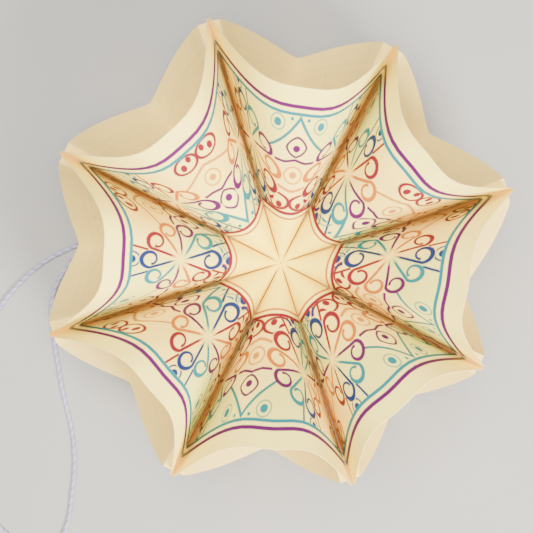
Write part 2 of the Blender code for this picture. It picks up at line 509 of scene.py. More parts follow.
    def build(self) -> bpy.types.NodeTree:
        """Builds the group that prints the pattern.

        Returns:
            The group. Its inputs are Turn in degrees and Reach, a share of the slant length.
        """
        graph, given, results = new_group(
            "Rosette print",
            {"Turn": 0.0, "Reach": 0.5},
            {"Tint": "NodeSocketColor", "Color": "NodeSocketColor", "Ink": "NodeSocketFloat"},
        )
        reach = given["Reach"]
        quarter = given["Turn"].wrapped(self.repeat)
        half = self.repeat / 2
        folded = half - abs(quarter - half)
        far_half = folded.above(half / 2)
        from_gap = half / 2 - abs(folded - half / 2)
        wide = reach * (self.across_scale * math.radians(1))
        up = (reach - self.band_middle) * self.up_scale
        rose_across = (folded - half / 2) * wide
        arms, order = self.rosette(rose_across, up)
        x = from_gap * wide
        y = up * (1.0 - far_half * 2.0)
        from_rose = length_of(rose_across, up)
        clear = from_rose.above(self.rosette_reach)
        near = from_rose.above(self.line_reach)
        parted = from_rose.above(self.parting_reach)
        rose_side = (from_gap - half / 2) * wide
        band = up.below(self.band_half) * up.above(-self.band_half)
        soft = self.softness

        # The lines that part the cells, from the gaps' mid-lines to the rosettes.
        run = (x / self.cell_half).least(1.0)
        left_over = 1.0 - run
        vee_height = left_over * left_over * self.vee_top
        steepness = (2 * self.vee_top / self.cell_half) ** 2
        vee_slope = (left_over * left_over * steepness + 1.0).root()
        vee = (abs(y - vee_height) / vee_slope).inked(self.vee_pen, soft)
        swing = (x / self.wave_length).work("SINE") * self.wave_swing
        wave_height = (self.wave_top - x * self.wave_fall).most(swing)
        wave = abs(y - wave_height).inked(self.wave_pen, soft)
        swag_height = (1.0 - run**self.swag_power) * -self.swag_depth
        swag = (abs(y - swag_height) * self.swag_slope).inked(self.swag_pen, soft)
        blue_lean, red_lean = math.radians(self.blue_lean), math.radians(self.red_lean)
        blue_line = abs(rose_side * math.cos(blue_lean) + y * math.sin(blue_lean))
        red_line = abs(rose_side * math.cos(red_lean) - y * math.sin(red_lean))
        blue_part = blue_line.inked(self.parting_pen, soft) * y.above(0.0)
        red_part = red_line.inked(self.parting_pen, soft) * y.below(0.0)

        # Eyes, drops and leaves in the cells.
        teal_eye, berries = [
            self.dot(x, y, first).most(self.dot(x, y, second))
            for first, second in (self.teal_dots, self.berries)
        ]
        drop_wide = (x / self.drop.wide) ** self.drop_power
        drop_high = (abs(y - self.drop.up) / self.drop.high) ** self.drop_power
        drop_edge = (drop_wide + drop_high) ** (1 / self.drop_power)
        drop = (abs(drop_edge - 1.0) * DROP_SCALE).inked(self.drop.half_width, soft)
        leaf_edge = length_of(
            (x - self.leaf.across) / self.leaf.wide, (y - self.leaf.up) / self.leaf.high
        )
        leaf = (abs(leaf_edge - 1.0) * LEAF_SCALE).inked(self.leaf.half_width, soft)
        bud_up = abs(up) - self.band_half
        bud = self.dot(rose_across, bud_up, self.bud).most(
            self.hoop(rose_across, bud_up, self.bud_circle)
        )

        purple_marks = drop.most(self.dot(x, y, self.purple_dot))
        teal_marks = teal_eye.most(self.hoop(x, y, self.teal_circle))
        orange_marks = self.dot(x, y, self.orange_dot).most(self.hoop(x, y, self.orange_circle))
        purple = (wave * near).most(purple_marks * clear)
        teal = (vee * near).most(teal_marks * clear)
        blue = (blue_part * parted).most(bud * clear)
        crimson = (red_part * parted).most(leaf.most(berries) * clear)
        orange = (swag * near).most(orange_marks * clear)

        hue = graph.add("ShaderNodeValToRGB")
        hue.color_ramp.interpolation = "CONSTANT"
        inks = self.inks
        arm_inks = (inks.blue, inks.crimson, inks.orange, inks.purple, inks.teal)
        stops = hue.color_ramp.elements
        while len(stops) < ARM_COLOURS:
            stops.new(1.0)
        for place, (stop, ink) in enumerate(zip(stops, arm_inks)):
            stop.position = place / ARM_COLOURS
            stop.color = (*ink, 1)
        graph.link(((order + 0.5) / ARM_COLOURS).socket, hue.inputs[0])

        # Faint tints of the cells, then the inks and how far each one covers.
        paper: Colour = (1.0, 1.0, 1.0)
        above_vee = y.above(vee_height) * band
        warm_cell = y.below(wave_height) * band
        heart = reach.below(self.heart_ring.reach)
        tint = graph.mix(above_vee * self.mint_share, paper, inks.mint_tint)
        tint = graph.mix(warm_cell * self.peach_share, tint, inks.peach_tint)
        tint = graph.mix(heart * self.heart_share, tint, inks.heart_tint)
        graph.link(tint, results["Tint"])
        layers = (
            (orange * band * self.orange_cover, inks.orange),
            (crimson * band, inks.crimson),
            (blue * band, inks.blue),
            (teal * band, inks.teal),
            (purple * band, inks.purple),
            (arms * band, hue.outputs[0]),
            (self.ring(reach, self.heart_ring), inks.orange),
            (self.ring(reach, self.inner_ring), inks.crimson),
            (self.ring(reach, self.outer_ring), inks.teal),
            (self.ring(reach, self.rim_ring), inks.purple),
        )
        colour: Union[bpy.types.NodeSocket, Colour] = inks.orange
        cover: Union[Field, float] = 0.0
        for mask, ink in layers:
            colour = graph.mix((mask * INK_EDGE).least(1.0), colour, ink)
            cover = mask.most(cover)
        graph.link(colour, results["Color"])
        graph.link(cover.socket, results["Ink"])
        return graph.tree


# --------------------------------------------------------------------------------------------
# Finishes
# --------------------------------------------------------------------------------------------


def paper_grain_group() -> bpy.types.NodeTree:
    """Builds the group for paper fibres, which every paper face uses.

    Returns:
        The group, with inputs for the fibres' size and outputs for cloudiness and height.
    """
    graph, given, results = new_group(
        "Paper grain",
        {"Fibre scale": 2600.0, "Cloud scale": 90.0},
        {"Clouds": "NodeSocketFloat", "Height": "NodeSocketFloat"},
    )
    place = graph.add("ShaderNodeTexCoord").outputs["Object"]
    clouds = graph.noise(place, 90.0, 4.0)
    graph.link(given["Cloud scale"].socket, clouds.socket.node.inputs["Scale"])
    fibres = graph.noise(place, 2600.0, 2.0)
    graph.link(given["Fibre scale"].socket, fibres.socket.node.inputs["Scale"])
    graph.link(clouds.socket, results["Clouds"])
    graph.link((fibres * 0.7 + clouds * 0.3).socket, results["Height"])
    return graph.tree


@dataclass
class Finish:
    """A Principled material whose nodes a subclass adds to."""

    name: str
    slot: str
    roughness: float
    gloss: float = 0.5

    def start(self) -> tuple[bpy.types.Material, Graph, bpy.types.Node]:
        """Makes the material with its plain shader.

        Returns:
            The material, its graph and its Principled shader.
        """
        material = bpy.data.materials.new(self.name)
        material.use_nodes = True
        graph = Graph(material.node_tree)
        shader = material.node_tree.nodes["Principled BSDF"]
        shader.inputs["Roughness"].default_value = self.roughness
        shader.inputs["Specular IOR Level"].default_value = self.gloss
        return material, graph, shader

    def bump(
        self, graph: Graph, shader: bpy.types.Node, height: Field, strength: float, depth: float
    ) -> None:
        """Adds relief.

        Args:
            graph: The material's graph.
            shader: Its Principled shader.
            height: The relief's height, 0 to 1.
            strength: How much of it shows.
            depth: The height of 1, in metres.
        """
        node = graph.add("ShaderNodeBump")
        node.inputs["Strength"].default_value = strength
        node.inputs["Distance"].default_value = depth
        graph.link(height.socket, node.inputs["Height"])
        graph.link(node.outputs[0], shader.inputs["Normal"])


@dataclass
class PaperFinish(Finish):
    """Cream paper, with the print at a chosen strength, painted shade that turns the paper gold and brownish
    along the folds, and painted light (an emission) along the folds and in the star's bare middle.
    """

    cloud: Colour = linear(250, 224, 118)
    cloud_from: float = 0.35  # the clouds show above this
    painted_shade_band: tuple[float, float] = (0.27, 0.87)  # where the painted shade at the folds is brownish and not golden
    heart_reach: float = 0.234
    painted_glow_paper_share: float = 0.35  # the paper's own share of the painted light's colour
    rough_spread: float = 0.12
    paper: Colour = linear(255, 234, 128)
    print_strength: float = 1.0
    ink_cover: float = 1.0  # how far the ink hides the paper's own colour
    # Painted shade at the folds: the paper is multiplied toward this gold outside the printed band.
    painted_gold_fold: Colour = linear(255, 238, 128)
    painted_fold_strength: float = 0.0
    painted_glow: float = 0.42  # painted light: emission strength at the folds, standing in for light that comes through the thin paper
    painted_heart_glow: float = 0.3  # the share of the painted light that the star's bare middle has
    # Painted shade at the folds: the brownish colour that the paper is multiplied toward inside the printed
    # band.
    painted_brown_fold: Colour = linear(196, 140, 76)

    def make(self, grain: bpy.types.NodeTree, pattern: bpy.types.NodeTree) -> bpy.types.Material:
        """Builds the material.

        Args:
            grain: The paper grain group.
            pattern: The print group.

        Returns:
            The material.
        """
        material, graph, shader = self.start()
        fibres = graph.add("ShaderNodeGroup", node_tree=grain)
        clouds = graph.number(fibres.outputs["Clouds"])
        cloudy = (clouds - self.cloud_from).work("MULTIPLY", 0.5, clamp=True)
        base = graph.mix(cloudy, self.paper, self.cloud)
        if self.print_strength > 0:
            spot = graph.add("ShaderNodeUVMap", uv_map="Sheet")
            parts = graph.add("ShaderNodeSeparateXYZ")
            graph.link(spot.outputs[0], parts.inputs[0])
            turn = (graph.number(parts.outputs[0]) - 0.5) * FULL_TURN
            printed = graph.add("ShaderNodeGroup", node_tree=pattern)
            graph.link(turn.socket, printed.inputs["Turn"])
            graph.link(parts.outputs[1], printed.inputs["Reach"])
            base = graph.mix(self.print_strength, base, printed.outputs["Tint"], "MULTIPLY")
            ink = graph.number(printed.outputs["Ink"]) * (self.print_strength * self.ink_cover)
            base = graph.mix(ink, base, printed.outputs["Color"])
            if self.painted_fold_strength > 0:
                # Painted shade at the folds: the creases' mask multiplies the paper toward gold outside the
                # printed band and toward a brownish colour inside it.
                painted_fold_mask = graph.number(graph.add("ShaderNodeAttribute", attribute_name="painted_fold_mask").outputs["Fac"])
                reach = graph.number(parts.outputs[1])
                inner, outer = self.painted_shade_band
                printed_band = reach.above(inner) * reach.below(outer)
                painted_fold_colour = graph.mix(printed_band, self.painted_gold_fold, self.painted_brown_fold)
                base = graph.mix(painted_fold_mask * self.painted_fold_strength, base, painted_fold_colour, "MULTIPLY")
                # Painted light: an emission at the folds and in the star's bare middle, standing in for
                # light that comes through the thin paper.
                painted_glow_mask = painted_fold_mask.most(reach.below(self.heart_reach) * self.painted_heart_glow)
                painted_glow = graph.mix(painted_glow_mask, (0.0, 0.0, 0.0), graph.mix(self.painted_glow_paper_share, painted_fold_colour, base))
                graph.link(painted_glow, shader.inputs["Emission Color"])
                shader.inputs["Emission Strength"].default_value = self.painted_glow
        graph.link(base, shader.inputs["Base Color"])
        rough = clouds * self.rough_spread + (self.roughness - self.rough_spread / 2)
        graph.link(rough.socket, shader.inputs["Roughness"])
        self.bump(graph, shader, graph.number(fibres.outputs["Height"]), 0.35, 0.03 * MM)
        return material


@dataclass
class GlueFinish(Finish):
    """Dried glue or clear tape: a pale film with small bubbles."""

    film: Colour = linear(226, 206, 160)
    bubbles: Colour = linear(244, 232, 200)
    bubble_scale: float = 900.0

    def make(self) -> bpy.types.Material:
        """Builds the material.

        Returns:
            The material.
        """
        material, graph, shader = self.start()
        place = graph.add("ShaderNodeTexCoord").outputs["Object"]
        bubbles = graph.noise(place, self.bubble_scale, 2.0)
        base = graph.mix((bubbles * 1.6).work("SUBTRACT", 0.6, clamp=True), self.film, self.bubbles)
        graph.link(base, shader.inputs["Base Color"])
        graph.link((bubbles * 0.3 + (self.roughness - 0.15)).socket, shader.inputs["Roughness"])
        self.bump(graph, shader, bubbles, 0.4, 0.05 * MM)
        return material


@dataclass
class CordFinish(Finish):
    """Twisted lilac-grey yarn with fine fibres, and painted shade that makes each ply a different lightness.
    """

    yarn: Colour = linear(192, 190, 214)
    shade: Colour = linear(86, 80, 122)
    fibre_scale: float = 4200.0

    def make(self) -> bpy.types.Material:
        """Builds the material.

        Returns:
            The material.
        """
        material, graph, shader = self.start()
        place = graph.add("ShaderNodeTexCoord").outputs["Object"]
        fibres = graph.noise(place, self.fibre_scale, 3.0)
        patches = graph.noise(place, 260.0, 2.0)
        ply = graph.number(graph.add("ShaderNodeAttribute", attribute_name="ply").outputs["Fac"])
        # The ply attribute is painted shade: each ply a different lightness, standing in for the light and
        # dark stripes of the twist.
        share = (fibres * 0.7 + patches * 0.3 + ply * 0.3).work("SUBTRACT", 0.15, clamp=True)
        graph.link(graph.mix(share, self.shade, self.yarn), shader.inputs["Base Color"])
        graph.link((fibres * 0.2 + (self.roughness - 0.1)).socket, shader.inputs["Roughness"])
        shader.inputs["Sheen Weight"].default_value = 0.25
        self.bump(graph, shader, fibres, 0.7, 0.12 * MM)
        return material


@dataclass
class FloorFinish(Finish):
    """A plain pale table top."""

    dark: Colour = linear(138, 136, 134)
    light: Colour = linear(146, 144, 142)

    def make(self) -> bpy.types.Material:
        """Builds the material.

        Returns:
            The material.
        """
        material, graph, shader = self.start()
        place = graph.add("ShaderNodeTexCoord").outputs["Object"]
        mottle = graph.noise(place, 14.0, 3.0)
        graph.link(graph.mix(mottle, self.dark, self.light), shader.inputs["Base Color"])
        return material


@dataclass(frozen=True)
class Finishes:
    """Every material of the star."""

    printed: bpy.types.Material
    plain: bpy.types.Material
    cut_edge: bpy.types.Material
    tape: bpy.types.Material
    glue: bpy.types.Material
    cord: bpy.types.Material

    @classmethod
    def make(cls) -> "Finishes":
        """Builds the groups and the materials.

        Returns:
            The star's materials.
        """
        grain = paper_grain_group()
        pattern = PrintPattern().build()
        return cls(
            printed=PaperFinish(
                "Printed paper", "printed_paper", 0.62, gloss=0.15, painted_fold_strength=0.9
            ).make(grain, pattern),
            plain=PaperFinish(
                "Plain paper back",
                "printed_paper",
                0.7,
                paper=linear(236, 207, 120),
                print_strength=0.04,
                painted_fold_strength=0.75,
            ).make(grain, pattern),
            cut_edge=PaperFinish(
                "Cut paper edge", "printed_paper", 0.8, paper=linear(240, 214, 140), print_strength=0.0
            ).make(grain, pattern),
            tape=GlueFinish("Clear double-sided tape", "seam_tape", 0.35, film=linear(232, 224, 198)).make(),
            glue=GlueFinish(
                "Dried paper glue",
                "dried_glue",
                0.4,
                film=linear(206, 152, 84),
                bubbles=linear(228, 184, 116),
            ).make(),
            cord=CordFinish("Lilac grey twisted cord", "cord", 0.85).make(),
        )


# --------------------------------------------------------------------------------------------
# Mesh helpers
# --------------------------------------------------------------------------------------------


def add_object(name: str, data: bpy.types.ID, *materials: bpy.types.Material) -> bpy.types.Object:
    """Puts data into the scene under its name.

    Args:
        name: The object's name.
        data: Its mesh or curve.
        *materials: Its materials, in order.

    Returns:
        The new object.
    """
    made = bpy.data.objects.new(name, data)
    bpy.context.scene.collection.objects.link(made)
    for material in materials:
        data.materials.append(material)
    return made


def to_mesh(name: str, shape: bmesh.types.BMesh) -> bpy.types.Mesh:
    """Turns an edited shape into a mesh and frees it.

    Args:
        name: The mesh's name.
        shape: The edited shape.

    Returns:
        The mesh.
    """
    mesh = bpy.data.meshes.new(name)
    shape.to_mesh(mesh)
    shape.free()
    return mesh


def settle(piece: bpy.types.Object, sharp_angle: float) -> None:
    """Applies a piece's modifiers and shades it smooth, apart from its sharp edges.

    Args:
        piece: The piece.
        sharp_angle: Edges that turn more than this stay sharp.
    """
    graph = bpy.context.evaluated_depsgraph_get()
    graph.update()
    finished = bpy.data.meshes.new_from_object(piece.evaluated_get(graph))
    finished.name = piece.name
    piece.modifiers.clear()
    piece.data = finished
    finished.shade_smooth()
    finished.set_sharp_from_angle(angle=math.radians(sharp_angle))


def place_piece(piece: bpy.types.Object, slot: str, *nodes: str) -> None:
    """Hangs a piece on the star's body, hides the plain parts that it stands for and logs its size.

    Args:
        piece: The finished piece.
        slot: Not used.
        *nodes: The plain parts that it stands for.
    """
    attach(piece, BODY)
    if nodes:
        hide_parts(*nodes)
    size = piece.dimensions / MM
    log.info("%s: %.1f x %.1f x %.1f mm", piece.name, *size)


# --------------------------------------------------------------------------------------------
# The paper
# --------------------------------------------------------------------------------------------


class Wall(Enum):
    """The two walls of a cone."""

    FRONT = "front"
    BACK = "back"


@dataclass(frozen=True)
class Crease:
    """A side crease that two cones share: its length, and its turn from an even spacing."""

    length: float
    turn: float


@dataclass(frozen=True)
class ConeMake:
    """What is special to one hand-rolled cone."""

    front_rise: float  # height of the front rim's middle above the point
    seam_turn: float  # how far the back seam is turned
    print_turn: float  # where the pattern's gap lies on the front wall
    wave: float  # phase of the paper's slight waves


@dataclass(frozen=True)
class Column:
    """One line of a rolled sheet, from the point to the rim."""

    wall: Wall
    side: float
    inset: float
    trim: float = 0.0


@dataclass
class StarPlan:
    """The sizes that all cones share."""

    cones: int = 8
    paper: float = 0.25 * MM
    back_drop: float = 42.5 * MM
    cord_cone_drop: float = 40.1 * MM
    cord_cone: int = 4
    point_start: float = 0.3 * MM
    crease_clear: float = 0.15 * MM
    flap_inset: float = 0.6 * MM
    lean: tuple[float, float] = (1.8 * MM, -2.7 * MM)  # how far the points sit off the middle
    creases: tuple[Crease, ...] = (
        Crease(93.0 * MM, -1.5),
        Crease(92.0 * MM, -2.0),
        Crease(94.0 * MM, -1.5),
        Crease(91.5 * MM, 1.5),
        Crease(92.0 * MM, 1.0),
        Crease(93.0 * MM, 1.5),
        Crease(92.0 * MM, 0.5),
        Crease(89.5 * MM, -1.0),
    )
    makes: tuple[ConeMake, ...] = (
        ConeMake(68.0 * MM, -4.0, -14.5, 0.3),
        ConeMake(70.5 * MM, 0.0, 35.0, 1.9),
        ConeMake(71.5 * MM, 0.5, 0.0, 4.1),
        ConeMake(72.0 * MM, 0.0, 43.5, 5.2),
        ConeMake(70.0 * MM, 1.0, 22.5, 2.6),
        ConeMake(71.0 * MM, 0.5, 24.0, 0.9),
        ConeMake(71.0 * MM, 1.5, -9.0, 3.4),
        ConeMake(68.0 * MM, 0.0, 13.0, 5.9),
    )

    @property
    def point_height(self) -> float:
        """Height of the cones' points above the table."""
        return self.back_drop + self.paper / 2


@dataclass
class PaperCone:
    """One cone: a sheet rolled round, folded flat at both sides and glued along its back."""

    plan: StarPlan
    number: int
    arch_side_power: float = 3.4
    arch_top_power: float = 1 / 3
    keel_side_power: float = 1.3
    keel_top_power: float = 0.8
    keel_width: float = 0.87  # the back wall lies level from here to the crease
    round_side_power: float = 2.3  # near the point the front wall is rounder
    round_top_power: float = 0.48
    round_until: float = 0.1  # shares of the length over which it turns from round to full
    full_from: float = 0.8
    near_point: float = 0.82
    rim_lean: float = 1.1  # share of the lean that the front rim's middle keeps
    closing: float = 4.0 * MM  # over this length the sheets close up to the point
    flare_from: float = 0.2
    flare_to: float = 0.85
    side_nudge: float = 0.002
    front_steps: int = 48
    back_steps: int = 15
    flap_steps: int = 5
    rows: int = 22
    flap_trim: float = 0.12
    wave_height: float = 0.12 * MM
    across_waves: float = 5.0
    along_waves: float = 9.0
    along_swing: float = 0.6
    inset_over: float = 1 / 6  # the flap comes to its full inset over this share of the length
    closed_gap: float = 0.15  # the share of the clearance that is left at the very point
    print_share: float = 0.6  # the share of the length where the print's turns are measured
    # Painted shade and light at the creases: the mask rises over this share of the side toward each crease,
    # and the back walls get this share of it.
    painted_fold_width: float = 0.1
    back_painted_fold: float = 0.3
    curve_samples: int = 300
    sharp_angle: float = 32.0

    def __post_init__(self) -> None:
        """Works out the cone's own angles from its creases."""
        plan = self.plan
        before = (self.number - 1) % plan.cones
        step = FULL_TURN / plan.cones
        self.make = plan.makes[self.number]
        self.reach = (plan.creases[before].length, plan.creases[self.number].length)
        turns = (
            (self.number - 0.5) * step + plan.creases[before].turn,
            (self.number + 0.5) * step + plan.creases[self.number].turn,
        )
        self.middle = sum(turns) / 2
        self.half_width = (turns[1] - turns[0]) / 2
        drop = plan.cord_cone_drop if self.number == plan.cord_cone else plan.back_drop
        self.front_elevation = math.degrees(math.asin(self.make.front_rise / self.length(0)))
        self.back_elevation = -math.degrees(math.asin(drop / self.length(0)))
        clear = (plan.paper / 2 + plan.crease_clear) / math.sin(math.radians(self.half_width))
        self.point = Vector((0, 0, plan.point_height)) + direction(self.middle) * clear

    def length(self, side: float) -> float:
        """Slant length at a side from -1 to 1."""
        return self.reach[0] + (self.reach[1] - self.reach[0]) * (side + 1) / 2

    def toward(self, wall: Wall, side: float, share: float = 1.0) -> Vector:
        """The direction of a wall, seen from the point.

        Args:
            wall: The front or the back wall.
            side: Place across the cone, from -1 to 1.
            share: Place along it, as a share of the slant length.

        Returns:
            The unit vector.
        """
        azimuth = self.middle + self.half_width * side
        if wall is Wall.FRONT:
            arch = max(1 - abs(side) ** self.arch_side_power, 0.0) ** self.arch_top_power
            bow = max(1 - abs(side) ** self.round_side_power, 0.0) ** self.round_top_power
            rise = bow + (arch - bow) * smooth_step(
                self.round_until, self.full_from, share
            )
            flare = self.near_point + (1 - self.near_point) * smooth_step(
                self.flare_from, self.flare_to, share
            )
            return direction(azimuth, self.front_elevation * rise * flare)
        within = min(abs(side) / self.keel_width, 1.0)
        rise = (1 - within**self.keel_side_power) ** self.keel_top_power
        turn = self.make.seam_turn * (1 - abs(side))
        return direction(azimuth + turn, self.back_elevation * rise)

    def spot(self, column: Column, share: float) -> Vector:
        """A point of the sheet.

        Args:
            column: The line of the sheet that it lies on.
            share: Place along the line, 0 at the point and 1 at the rim.

        Returns:
            The point's place.
        """
        wall, side = column.wall, column.side
        share *= 1 - column.trim
        here = self.toward(wall, side, share)
        ahead = self.toward(wall, min(side + self.side_nudge, 1.0), share)
        behind = self.toward(wall, max(side - self.side_nudge, -1.0), share)
        inward = (ahead - behind).cross(here).normalized()
        if inward.dot(direction(self.middle) - here) < 0:
            inward.negate()
        start = self.plan.point_start / self.length(side)
        along = start + (1 - start) * share
        waves = math.sin(side * self.across_waves + self.make.wave)
        waves += self.along_swing * math.sin(share * self.along_waves + self.make.wave * 2)
        push = self.wave_height * waves * share**2 * (1 - side**2) ** 2
        distance = self.length(side) * along
        reach = self.origin(distance) + self.toward(wall, side, along) * distance
        kept = along * (1 - self.rim_lean * (1 - side**2)) if wall is Wall.FRONT else along
        reach += Vector((*self.plan.lean, 0)) * (1 - kept)
        return reach + inward * (column.inset * min(share / self.inset_over, 1.0) + push)

    def origin(self, distance: float) -> Vector:
        """The point that a place on the sheet is measured from.

        Args:
            distance: How far the place is from the cone's point.

        Returns:
            The point, which draws in to the star's middle near the cone's point.
        """
        axis = Vector((0, 0, self.plan.point_height))
        opened = smooth_step(0.0, self.closing, distance) * (1 - self.closed_gap)
        return axis.lerp(self.point, opened + self.closed_gap)

    def even_sides(self, wall: Wall, low: float, high: float, steps: int) -> list[float]:
        """Sides that cut a stretch of a wall's rim into equal lengths.

        Args:
            wall: The wall.
            low: The side where the stretch starts.
            high: The side where it ends.
            steps: How many lengths.

        Returns:
            The sides, one more than the steps.
        """
        sides = [low + (high - low) * i / self.curve_samples for i in range(self.curve_samples + 1)]
        points = [self.toward(wall, side) for side in sides]
        reached = [0.0]
        for before, after in zip(points, points[1:]):
            reached.append(reached[-1] + (after - before).length)
        found = []
        for step in range(steps + 1):
            wanted = reached[-1] * step / steps
            index = max(next(i for i, value in enumerate(reached) if value >= wanted - 1e-12), 1)
            within = (wanted - reached[index - 1]) / (reached[index] - reached[index - 1])
            found.append(sides[index - 1] + (sides[index] - sides[index - 1]) * within)
        return found

    def columns(self) -> list[Column]:
        """The sheet's lines in order: outer edge, side, front, side, seam and inner flap.

        Returns:
            The lines.
        """
        inset = self.plan.flap_inset
        to_left = self.even_sides(Wall.BACK, 0.0, -1.0, self.back_steps)
        to_right = self.even_sides(Wall.BACK, 0.0, 1.0, self.back_steps)
        across = self.even_sides(Wall.FRONT, -1.0, 1.0, self.front_steps)
        trip = [Column(Wall.BACK, side, 0.0) for side in to_left[:-1]]
        trip += [Column(Wall.FRONT, side, 0.0) for side in across]
        trip += [Column(Wall.BACK, side, inset * (1 - side)) for side in to_right[-2::-1]]
        for step in range(1, self.flap_steps + 1):
            trim = self.flap_trim * step / self.flap_steps
            trip.append(Column(Wall.BACK, to_left[step], inset, trim))
        return trip

    def sheet_turns(self, trip: list[Column]) -> list[float]:
        """How far each line is turned on the flat sheet, from the middle of the front wall.

        Args:
            trip: The sheet's lines in order.

        Returns:
            The turns in degrees.
        """
        ways = [self.toward(column.wall, column.side, self.print_share) for column in trip]
        turns = [0.0]
        for before, after in zip(ways, ways[1:]):
            turns.append(turns[-1] + math.degrees(before.angle(after)))
        middle = next(
            turn for turn, column in zip(turns, trip) if column.wall is Wall.FRONT and column.side > -1e-6
        )
        return [turn - middle for turn in turns]

    def rolled_sheet(self) -> bpy.types.Mesh:
        """Rolls a flat grid into the cone and marks each corner's place on the flat sheet.

        Returns:
            The rolled sheet's mesh.
        """
        trip = self.columns()
        turns = self.sheet_turns(trip)
        last = len(trip) - 1
        shape = bmesh.new()
        sheet_map = shape.loops.layers.uv.new("Sheet")
        painted_fold_layer = shape.verts.layers.float.new("painted_fold_mask")
        bmesh.ops.create_grid(
            shape, x_segments=last, y_segments=self.rows, size=0.5, calc_uvs=True
        )
        cells: dict[bmesh.types.BMVert, tuple[int, float]] = {}
        for vert in shape.verts:
            index = round((vert.co.x + 0.5) * last)
            cells[vert] = (index, round((vert.co.y + 0.5) * self.rows) / self.rows)
        for vert, (index, share) in cells.items():
            vert.co = self.spot(trip[index], share)
            # The mask of painted shade and light: it rises toward each side crease.
            near = max(1 - (1 - abs(trip[index].side)) / self.painted_fold_width, 0.0)
            vert[painted_fold_layer] = near * near if trip[index].wall is Wall.FRONT else near * self.back_painted_fold
        for face in shape.faces:
            for loop in face.loops:
                index, share = cells[loop.vert]
                turn = turns[index] - self.make.print_turn
                loop[sheet_map].uv = (turn / FULL_TURN + 0.5, share * (1 - trip[index].trim))
        self.face_outward(shape, trip, cells)
        return to_mesh(self.name, shape)

    def face_outward(
        self,
        shape: bmesh.types.BMesh,
        trip: list[Column],
        cells: dict[bmesh.types.BMVert, tuple[int, float]],
    ) -> None:
        """Turns the sheet's faces so that the printed side is outside.

        Args:
            shape: The rolled sheet.
            trip: The sheet's lines in order.
            cells: Each corner's line and share of the length.
        """
        shape.normal_update()
        total = sum(
            face.normal.z
            for face in shape.faces
            if all(trip[cells[vert][0]].wall is Wall.FRONT for vert in face.verts)
        )
        if total < 0:
            bmesh.ops.reverse_faces(shape, faces=shape.faces)

    @property
    def name(self) -> str:
        """The cone's name."""
        return f"cone_{self.number + 1}_sheet"

    def build(self, finishes: Finishes, hole: Optional["CordHole"] = None) -> bpy.types.Object:
        """Makes the cone.

        Args:
            finishes: The star's materials.
            hole: The cord's hole, if this cone has it.

        Returns:
            The piece.
        """
        piece = add_object(
            self.name, self.rolled_sheet(), finishes.printed, finishes.plain, finishes.cut_edge
        )
        wall = piece.modifiers.new("Paper thickness", "SOLIDIFY")
        wall.thickness = self.plan.paper
        wall.offset = 0
        wall.use_even_offset = True
        wall.material_offset = 1
        wall.material_offset_rim = 2
        cutter = hole.cut(piece, finishes.cut_edge) if hole else None
        settle(piece, self.sharp_angle)
        if cutter:
            bpy.data.objects.remove(cutter, do_unlink=True)
        place_piece(piece, "printed_paper", f"paper_cone_{self.number + 1}")
        return piece


@dataclass
class CordHole:
    """The upright round hole through a cone's back, close beside its seam."""

    cone: PaperCone
    radius: float = 2.6 * MM
    reach: float = 60.0 * MM
    depth: float = 24.0 * MM
    segments: int = 40

    def place(self) -> Vector:
        """Where the hole goes through the back.

        Returns:
            The middle of the hole.
        """
        seam = self.cone.toward(Wall.BACK, 0.0)
        along = (self.reach - self.cone.point.xy.length) / seam.xy.length
        return self.cone.point + seam * along

    def cut(self, piece: bpy.types.Object, edge: bpy.types.Material) -> bpy.types.Object:
        """Adds the cut to a cone.

        Args:
            piece: The cone's object.
            edge: The material of the cut edge.

        Returns:
            The cutter, which is removed once the cut is applied.
        """
        shape = bmesh.new()
        bmesh.ops.create_cone(
            shape,
            cap_ends=True,
            segments=self.segments,
            radius1=self.radius,
            radius2=self.radius,
            depth=self.depth,
        )
        bmesh.ops.translate(shape, vec=self.place(), verts=shape.verts)
        cutter = add_object("cord_hole_cutter", to_mesh("cord_hole_cutter", shape), edge)
        cutter.hide_render = True
        hole = piece.modifiers.new("Cord hole", "BOOLEAN")
        hole.operation = "DIFFERENCE"
        hole.solver = "EXACT"
        hole.material_mode = "TRANSFER"
        hole.object = cutter
        return cutter


@dataclass
class SeamTape:
    """A strip of clear double-sided tape under a cone's flap."""

    cone: PaperCone
    thickness: float = 0.1 * MM
    first_step: float = 1.2
    last_step: float = 3.2
    low: float = 0.15
    high: float = 0.86
    across_steps: int = 4
    along_steps: int = 16
    sharp_angle: float = 40.0

    def build(self, finishes: Finishes) -> bpy.types.Object:
        """Makes the strip.

        Args:
            finishes: The star's materials.

        Returns:
            The piece.
        """
        number = self.cone.number + 1
        sides = self.cone.even_sides(Wall.BACK, 0.0, -1.0, self.cone.back_steps * FLAP_DETAIL)
        shape = bmesh.new()
        bmesh.ops.create_grid(
            shape, x_segments=self.across_steps, y_segments=self.along_steps, size=0.5
        )
        for vert in shape.verts:
            step = self.first_step + (self.last_step - self.first_step) * (vert.co.x + 0.5)
            share = self.low + (self.high - self.low) * (vert.co.y + 0.5)
            side = sides[round(step * FLAP_DETAIL)]
            column = Column(Wall.BACK, side, self.cone.plan.flap_inset / 2)
            vert.co = self.cone.spot(column, share)
        piece = add_object(f"tape_{number}_strip", to_mesh(f"tape_{number}_strip", shape), finishes.tape)
        wall = piece.modifiers.new("Tape thickness", "SOLIDIFY")
        wall.thickness = self.thickness
        wall.offset = 0
        settle(piece, self.sharp_angle)
        place_piece(piece, "seam_tape", f"seam_tape_{number}")
        return piece


